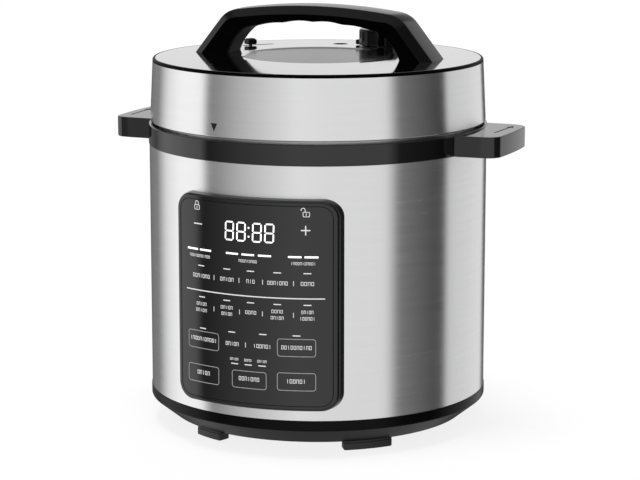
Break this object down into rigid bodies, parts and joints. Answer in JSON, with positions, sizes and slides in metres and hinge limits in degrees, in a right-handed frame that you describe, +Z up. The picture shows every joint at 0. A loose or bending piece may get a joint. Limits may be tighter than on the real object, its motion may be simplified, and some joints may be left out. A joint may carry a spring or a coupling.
{
  "type": "electric pressure cooker",
  "caption": "Electric pressure cooker: brushed steel body, curved touch panel, side handles, and a bayonet lid with an arched handle, steam valve and release slider.",
  "frame": {"origin": "on the ground under the cooker's own axis", "axes": "+Z up along the cooker's axis, -Y out of the control panel, +X towards the right side handle"},
  "size_m": [0.334, 0.288, 0.3385],
  "materials": {
    "brushed_steel": "brushed satin",
    "polished_steel": "polished",
    "pot_steel": "satin",
    "zinc_steel": "plain",
    "gloss_black": "high gloss",
    "handle_black": "semi gloss",
    "satin_black": "satin, fine texture",
    "panel_face": "smooth gloss with printed marks",
    "foot_rubber": "matt",
    "silicone": "translucent matt",
    "clear_plastic": "smoky translucent",
    "cast_aluminium": "turned",
    "screw_steel": "plated",
    "pin_brass": "nickelled",
    "board_green": "solder mask",
    "component_grey": "moulded",
    "ceramic_white": "matt",
    "display_glass": "lit digits"
  },
  "bodies": {
    "housing": {"base_pan": "satin_black", "feet": "foot_rubber", "base_screws": "screw_steel", "support_posts": "satin_black", "outer_shell": "brushed_steel", "collar_ring": "gloss_black", "left_side_handle": "gloss_black", "right_side_handle": "gloss_black", "side_handle_screws": "screw_steel", "inner_housing": "zinc_steel", "bayonet_ring": "pot_steel", "inner_pot": "pot_steel", "pot_base": "pot_steel", "heating_plate": "cast_aluminium", "heating_element": "zinc_steel", "heat_shield": "zinc_steel", "sensor_bracket": "zinc_steel", "sensor_spring": "screw_steel", "power_board": "board_green", "board_components": "component_grey", "thermal_fuse": "ceramic_white", "pressure_switch": "component_grey", "power_inlet": "satin_black", "inlet_pins": "pin_brass", "cup_holder": "satin_black", "control_panel_housing": "gloss_black", "control_panel_face": "panel_face", "control_board": "board_green", "display_module": "display_glass"},
    "seal": {"sealing_ring": "silicone", "seal_rack": "screw_steel"},
    "lid": {"lid_side_band": "brushed_steel", "lid_rim_trim": "gloss_black", "lid_top_plate": "polished_steel", "lid_frame": "satin_black", "lid_posts": "satin_black", "inner_lid": "pot_steel", "handle_cover": "handle_black", "handle_grip": "handle_black", "handle_screws": "screw_steel", "valve_stem": "pot_steel", "valve_seat": "satin_black", "anti_block_shield": "pot_steel", "float_guide": "satin_black", "slider_track": "satin_black"},
    "steam_valve": {"steam_valve_cap": "handle_black"},
    "float_valve": {"float_valve_pin": "screw_steel", "float_seal": "silicone"},
    "release": {"release_slider": "handle_black"},
    "sensor": {"sensor_cap": "cast_aluminium", "thermistor": "ceramic_white"},
    "drip_cup": {"condensation_cup": "clear_plastic"}
  },
  "joints": [
    {"name": "lid_lift", "type": "slide", "parent": "housing", "child": "seal", "axis": [0, 0, 1], "range_m": [0, 0.2]},
    {"name": "lid_turn", "type": "hinge", "parent": "seal", "child": "lid", "pos_m": [0, 0, 0.25], "axis": [0, 0, 1], "range_deg": [0, 30]},
    {"name": "steam_valve_lift", "type": "slide", "parent": "lid", "child": "steam_valve", "axis": [0, 0, 1], "range_m": [0, 0.012]},
    {"name": "float_rise", "type": "slide", "parent": "lid", "child": "float_valve", "axis": [0, 0, 1], "range_m": [0, 0.005]},
    {"name": "release_slide", "type": "hinge", "parent": "lid", "child": "release", "pos_m": [0, 0, 0.2968], "axis": [0, 0, 1], "range_deg": [-12, 4]},
    {"name": "sensor_press", "type": "slide", "parent": "housing", "child": "sensor", "axis": [0, 0, 1], "range_m": [-0.003, 0], "stiffness_N_per_m": 400, "springref_m": 0.002, "deforming": ["sensor_spring"]},
    {"name": "drip_cup_pull", "type": "slide", "parent": "housing", "child": "drip_cup", "axis": [0, 1, 0], "range_m": [0, 0.04]}
  ]
}
